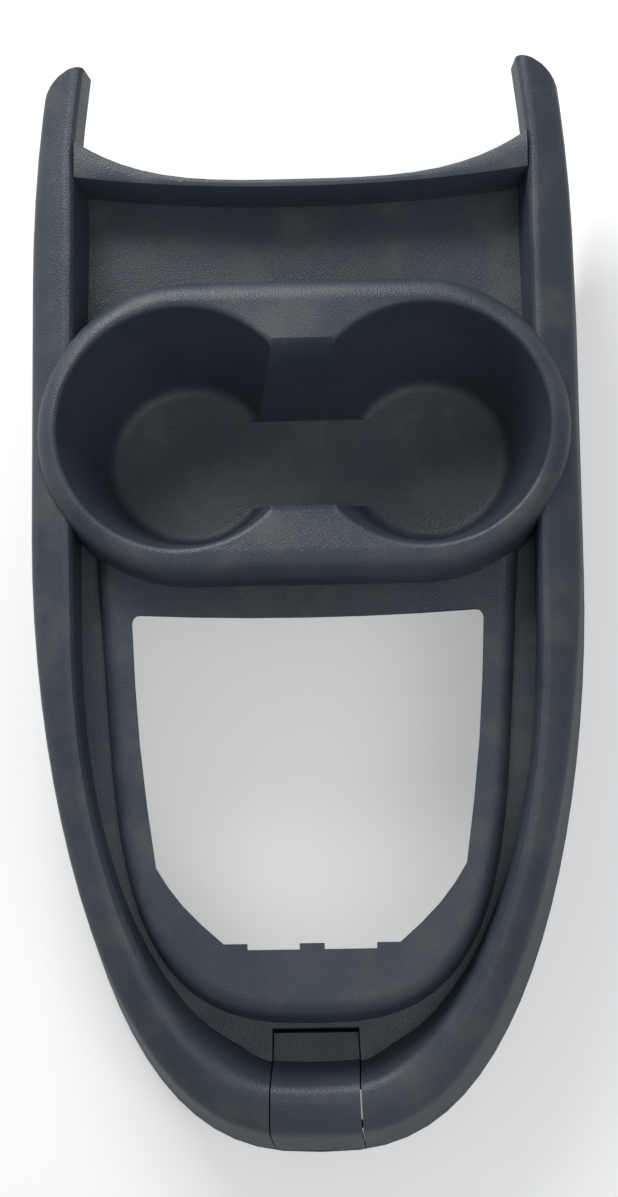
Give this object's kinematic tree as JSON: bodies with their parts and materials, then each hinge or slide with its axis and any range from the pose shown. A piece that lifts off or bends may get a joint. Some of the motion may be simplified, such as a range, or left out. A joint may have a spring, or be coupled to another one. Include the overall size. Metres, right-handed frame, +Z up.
{
  "type": "center console",
  "caption": "Moulded car center console trim with a raised double cup holder, a shallow front tray, a lever opening and a small swinging cover over the nose fixing.",
  "frame": {"origin": "in the plane of the lower rim, under the middle of the trim's length and width", "axes": "+X to the right seen from above with the prongs away, +Y along the trim towards the dashboard, +Z up"},
  "size_m": [0.21, 0.4, 0.092],
  "materials": {
    "dark_plastic": "fine leather grain, satin",
    "spring_steel": "plain"
  },
  "bodies": {
    "panel": {"console_panel": "dark_plastic", "spring_clips": "spring_steel"},
    "cover": {"nose_cover": "dark_plastic"}
  },
  "joints": [
    {"name": "nose_cover_hinge", "type": "hinge", "parent": "panel", "child": "cover", "pos_m": [0, -0.19, 0.012], "axis": [1, 0, 0], "range_deg": [0, 70]}
  ]
}
